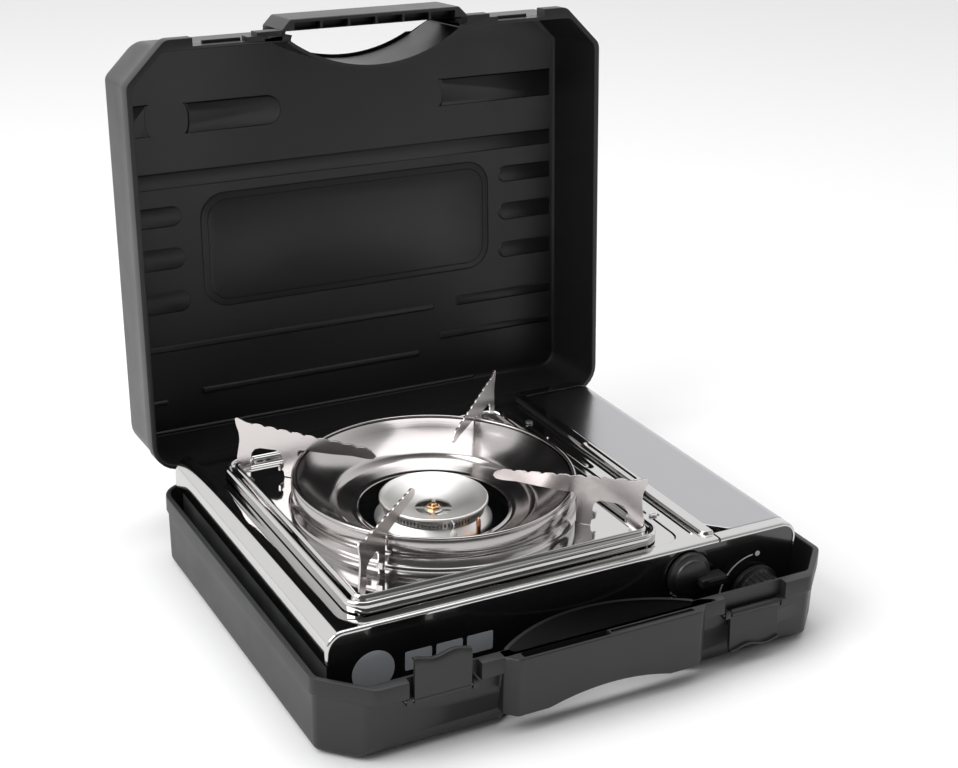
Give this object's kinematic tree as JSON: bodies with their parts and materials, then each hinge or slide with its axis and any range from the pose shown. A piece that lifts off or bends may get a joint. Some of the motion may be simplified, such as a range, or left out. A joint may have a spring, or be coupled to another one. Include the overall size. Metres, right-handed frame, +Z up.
{
  "type": "portable camping stove",
  "caption": "portable single-burner camping stove standing in the lower half of its hinged carrying case, with lift-off trivet, cartridge cover, gas knob and lock lever",
  "frame": {"origin": "middle of the lower case half's underside, on the table", "axes": "X to the right along the front, Y from the handle to the rear, Z up"},
  "size_m": [0.372, 0.4042, 0.3737],
  "materials": {
    "case_plastic": "black satin moulded plastic",
    "pin_steel": "plain steel wire",
    "chassis_steel": "galvanised sheet steel",
    "panel_black": "glossy black enamel",
    "polished_steel": "mirror polished stainless steel",
    "satin_steel": "bright drawn stainless steel",
    "support_enamel": "bright punched sheet steel",
    "print_silver": "silver print",
    "knob_plastic": "black plastic with fine grain",
    "foot_rubber": "black rubber",
    "burner_alloy": "cast and turned aluminium",
    "brass": "turned brass",
    "valve_metal": "die cast",
    "electrode_ceramic": "white glazed ceramic",
    "wire_sleeve": "red silicone sleeve",
    "igniter_plastic": "off-white plastic",
    "copper": "drawn copper tube"
  },
  "bodies": {
    "base": {"case_base": "case_plastic", "hinge_pin_left": "pin_steel", "hinge_pin_right": "pin_steel", "latch_pin_left": "pin_steel", "latch_pin_right": "pin_steel"},
    "lid": {"case_lid": "case_plastic"},
    "latch_l": {"latch_left": "case_plastic"},
    "latch_r": {"latch_right": "case_plastic"},
    "stove": {"chassis": "chassis_steel", "front_panel": "panel_black", "top_casing": "polished_steel", "partition": "chassis_steel", "rubber_feet": "foot_rubber", "panel_badge": "print_silver", "platform_screws": "pin_steel", "cover_hinge_pins": "pin_steel", "cartridge_cradle": "chassis_steel", "cartridge_spring": "chassis_steel", "heat_plate": "chassis_steel", "valve_body": "valve_metal", "piezo_igniter": "igniter_plastic", "ignition_wire": "wire_sleeve", "electrode_bracket": "chassis_steel", "electrode": "electrode_ceramic", "electrode_tip": "pin_steel", "flame_sensor": "copper", "gas_pipe": "copper", "injector": "brass", "mixing_tube": "chassis_steel", "burner_bracket": "chassis_steel", "burner_base": "burner_alloy", "burner_ring": "burner_alloy", "burner_cap": "burner_alloy", "burner_nut": "brass"},
    "cover": {"cartridge_cover": "polished_steel"},
    "knob": {"control_knob": "knob_plastic", "knob_stem": "brass"},
    "lever": {"lock_lever": "knob_plastic", "lock_shaft": "pin_steel", "lock_cam": "valve_metal"},
    "lock": {"lock_slide": "chassis_steel"},
    "trivet": {"drip_tray": "polished_steel", "wind_ring": "satin_steel", "burner_bowl": "polished_steel", "pan_support_fl": "support_enamel", "pan_support_fr": "support_enamel", "pan_support_rl": "support_enamel", "pan_support_rr": "support_enamel"}
  },
  "joints": [
    {"name": "lid_hinge", "type": "hinge", "parent": "base", "child": "lid", "pos_m": [0, 0.1605, 0.053], "axis": [-1, 0, 0], "range_deg": [-79, 0]},
    {"name": "latch_l_hinge", "type": "hinge", "parent": "base", "child": "latch_l", "pos_m": [-0.1135, -0.1516, 0.0395], "axis": [1, 0, 0], "range_deg": [0, 170]},
    {"name": "latch_r_hinge", "type": "hinge", "parent": "base", "child": "latch_r", "pos_m": [0.1135, -0.1516, 0.0395], "axis": [1, 0, 0], "range_deg": [-176, 0]},
    {"name": "stove_lift", "type": "slide", "parent": "base", "child": "stove", "axis": [0, 0, 1], "range_m": [0, 0.15]},
    {"name": "trivet_lift", "type": "slide", "parent": "stove", "child": "trivet", "axis": [0, 0, 1], "range_m": [0, 0.12]},
    {"name": "cover_hinge", "type": "hinge", "parent": "stove", "child": "cover", "pos_m": [0.163, 0, 0.062], "axis": [0, 1, 0], "range_deg": [0, 95]},
    {"name": "knob_turn", "type": "hinge", "parent": "stove", "child": "knob", "pos_m": [0.1345, -0.12, 0.032], "axis": [0, -1, 0], "range_deg": [0, 120]},
    {"name": "lever_turn", "type": "hinge", "parent": "stove", "child": "lever", "pos_m": [0.08, -0.12, 0.057], "axis": [0, 1, 0], "range_deg": [0, 45]},
    {"name": "lock_slide_travel", "type": "slide", "parent": "stove", "child": "lock", "axis": [1, 0, 0], "range_m": [0, 0.0062]}
  ],
  "couplings": [
    {"joint": "lock_slide_travel", "follows": "lever_turn", "m_per_rad": 0.0078}
  ]
}
